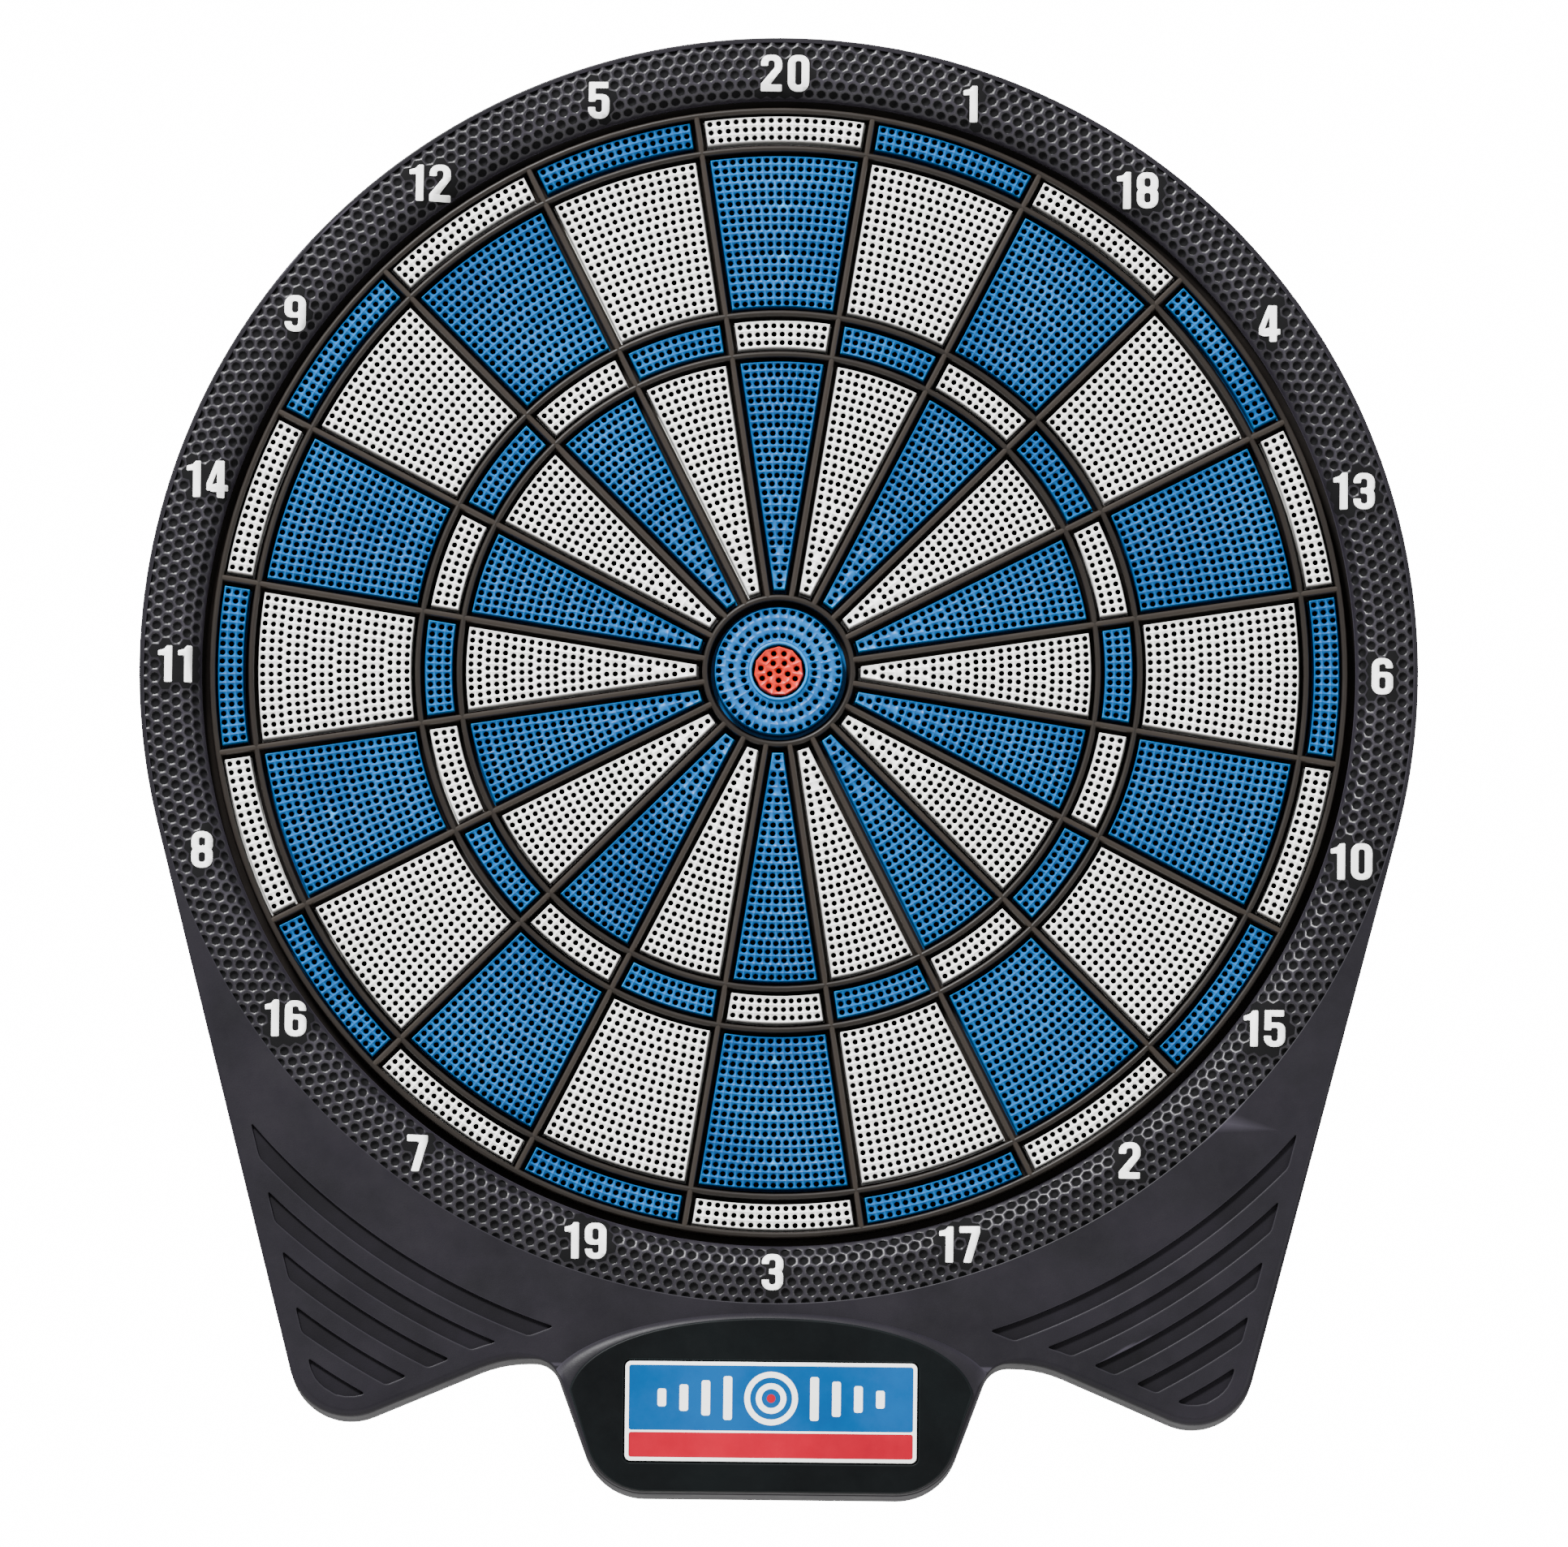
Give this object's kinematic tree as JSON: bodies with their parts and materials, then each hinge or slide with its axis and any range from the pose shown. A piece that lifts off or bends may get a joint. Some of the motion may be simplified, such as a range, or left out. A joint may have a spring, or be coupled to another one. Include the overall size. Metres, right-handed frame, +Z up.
{
  "type": "electronic dartboard",
  "caption": "Wall-hung electronic dartboard for soft-tip darts: sprung perforated scoring keys in a raised web, dimpled number ring, finned lower casing with a badge pod.",
  "frame": {"origin": "on the flat back of the rear casing, straight behind the centre of the bull", "axes": "+Z up, towards the number 20; +Y out of the flat back, towards the wall; the target faces -Y"},
  "size_m": [0.445, 0.032, 0.51],
  "materials": {
    "casing": "fine moulded texture, satin",
    "catch_ring": "dimpled, dull black with printed white numbers",
    "spider": "smooth satin",
    "key_blue": "perforated, satin gloss",
    "key_white": "perforated, satin gloss",
    "key_red": "perforated, satin gloss",
    "slate": "smooth semi-gloss",
    "badge": "printed, semi-gloss",
    "spring_mat": "moulded silicone rubber",
    "film": "printed polyester film",
    "backing_board": "pressed hardboard",
    "circuit": "soldered board",
    "speaker": "black pressed frame",
    "battery": "plain printed sleeve",
    "contact": "nickel plated",
    "lead": "insulated wire",
    "screw": "zinc plated"
  },
  "bodies": {
    "casing": {"rear_casing": "casing", "front_casing": "casing", "catch_ring": "catch_ring", "spider": "spider", "spring_mat": "spring_mat", "matrix_film_upper": "film", "matrix_film_lower": "film", "matrix_tail": "film", "backing_board": "backing_board", "circuit_board": "circuit", "speaker": "speaker", "battery_1": "battery", "battery_2": "battery", "battery_3": "battery", "contact_strip_left": "contact", "contact_strip_right": "contact", "switch_body": "slate", "pod_fascia": "slate", "badge_plate": "badge", "battery_lead": "lead", "speaker_lead": "lead", "case_screw_1": "screw", "case_screw_2": "screw", "case_screw_3": "screw", "case_screw_4": "screw", "case_screw_5": "screw", "case_screw_6": "screw", "case_screw_7": "screw", "case_screw_8": "screw", "spider_screw_1": "screw", "spider_screw_2": "screw", "spider_screw_3": "screw", "spider_screw_4": "screw"},
    "number_20": {"keys_20": "key_blue"},
    "number_1": {"keys_1": "key_white"},
    "number_18": {"keys_18": "key_blue"},
    "number_4": {"keys_4": "key_white"},
    "number_13": {"keys_13": "key_blue"},
    "number_6": {"keys_6": "key_white"},
    "number_10": {"keys_10": "key_blue"},
    "number_15": {"keys_15": "key_white"},
    "number_2": {"keys_2": "key_blue"},
    "number_17": {"keys_17": "key_white"},
    "number_3": {"keys_3": "key_blue"},
    "number_19": {"keys_19": "key_white"},
    "number_7": {"keys_7": "key_blue"},
    "number_16": {"keys_16": "key_white"},
    "number_8": {"keys_8": "key_blue"},
    "number_11": {"keys_11": "key_white"},
    "number_14": {"keys_14": "key_blue"},
    "number_9": {"keys_9": "key_white"},
    "number_12": {"keys_12": "key_blue"},
    "number_5": {"keys_5": "key_white"},
    "outer_bull_key": {"outer_bull": "key_blue"},
    "inner_bull_key": {"inner_bull": "key_red"},
    "door": {"battery_door": "casing"},
    "switch": {"switch_slider": "slate"}
  },
  "joints": [
    {"name": "press_20", "type": "slide", "parent": "casing", "child": "number_20", "axis": [0, 1, 0], "range_m": [0, 0.0012], "stiffness_N_per_m": 1500},
    {"name": "press_1", "type": "slide", "parent": "casing", "child": "number_1", "axis": [0, 1, 0], "range_m": [0, 0.0012], "stiffness_N_per_m": 1500},
    {"name": "press_18", "type": "slide", "parent": "casing", "child": "number_18", "axis": [0, 1, 0], "range_m": [0, 0.0012], "stiffness_N_per_m": 1500},
    {"name": "press_4", "type": "slide", "parent": "casing", "child": "number_4", "axis": [0, 1, 0], "range_m": [0, 0.0012], "stiffness_N_per_m": 1500},
    {"name": "press_13", "type": "slide", "parent": "casing", "child": "number_13", "axis": [0, 1, 0], "range_m": [0, 0.0012], "stiffness_N_per_m": 1500},
    {"name": "press_6", "type": "slide", "parent": "casing", "child": "number_6", "axis": [0, 1, 0], "range_m": [0, 0.0012], "stiffness_N_per_m": 1500},
    {"name": "press_10", "type": "slide", "parent": "casing", "child": "number_10", "axis": [0, 1, 0], "range_m": [0, 0.0012], "stiffness_N_per_m": 1500},
    {"name": "press_15", "type": "slide", "parent": "casing", "child": "number_15", "axis": [0, 1, 0], "range_m": [0, 0.0012], "stiffness_N_per_m": 1500},
    {"name": "press_2", "type": "slide", "parent": "casing", "child": "number_2", "axis": [0, 1, 0], "range_m": [0, 0.0012], "stiffness_N_per_m": 1500},
    {"name": "press_17", "type": "slide", "parent": "casing", "child": "number_17", "axis": [0, 1, 0], "range_m": [0, 0.0012], "stiffness_N_per_m": 1500},
    {"name": "press_3", "type": "slide", "parent": "casing", "child": "number_3", "axis": [0, 1, 0], "range_m": [0, 0.0012], "stiffness_N_per_m": 1500},
    {"name": "press_19", "type": "slide", "parent": "casing", "child": "number_19", "axis": [0, 1, 0], "range_m": [0, 0.0012], "stiffness_N_per_m": 1500},
    {"name": "press_7", "type": "slide", "parent": "casing", "child": "number_7", "axis": [0, 1, 0], "range_m": [0, 0.0012], "stiffness_N_per_m": 1500},
    {"name": "press_16", "type": "slide", "parent": "casing", "child": "number_16", "axis": [0, 1, 0], "range_m": [0, 0.0012], "stiffness_N_per_m": 1500},
    {"name": "press_8", "type": "slide", "parent": "casing", "child": "number_8", "axis": [0, 1, 0], "range_m": [0, 0.0012], "stiffness_N_per_m": 1500},
    {"name": "press_11", "type": "slide", "parent": "casing", "child": "number_11", "axis": [0, 1, 0], "range_m": [0, 0.0012], "stiffness_N_per_m": 1500},
    {"name": "press_14", "type": "slide", "parent": "casing", "child": "number_14", "axis": [0, 1, 0], "range_m": [0, 0.0012], "stiffness_N_per_m": 1500},
    {"name": "press_9", "type": "slide", "parent": "casing", "child": "number_9", "axis": [0, 1, 0], "range_m": [0, 0.0012], "stiffness_N_per_m": 1500},
    {"name": "press_12", "type": "slide", "parent": "casing", "child": "number_12", "axis": [0, 1, 0], "range_m": [0, 0.0012], "stiffness_N_per_m": 1500},
    {"name": "press_5", "type": "slide", "parent": "casing", "child": "number_5", "axis": [0, 1, 0], "range_m": [0, 0.0012], "stiffness_N_per_m": 1500},
    {"name": "press_outer_bull", "type": "slide", "parent": "casing", "child": "outer_bull_key", "axis": [0, 1, 0], "range_m": [0, 0.0012], "stiffness_N_per_m": 1500},
    {"name": "press_inner_bull", "type": "slide", "parent": "casing", "child": "inner_bull_key", "axis": [0, 1, 0], "range_m": [0, 0.0012], "stiffness_N_per_m": 1500},
    {"name": "battery_door_hinge", "type": "hinge", "parent": "casing", "child": "door", "pos_m": [0, -0.0011, -0.2214], "axis": [1, 0, 0], "range_deg": [0, 75]},
    {"name": "power_switch", "type": "slide", "parent": "casing", "child": "switch", "axis": [1, 0, 0], "range_m": [0, 0.004]}
  ]
}
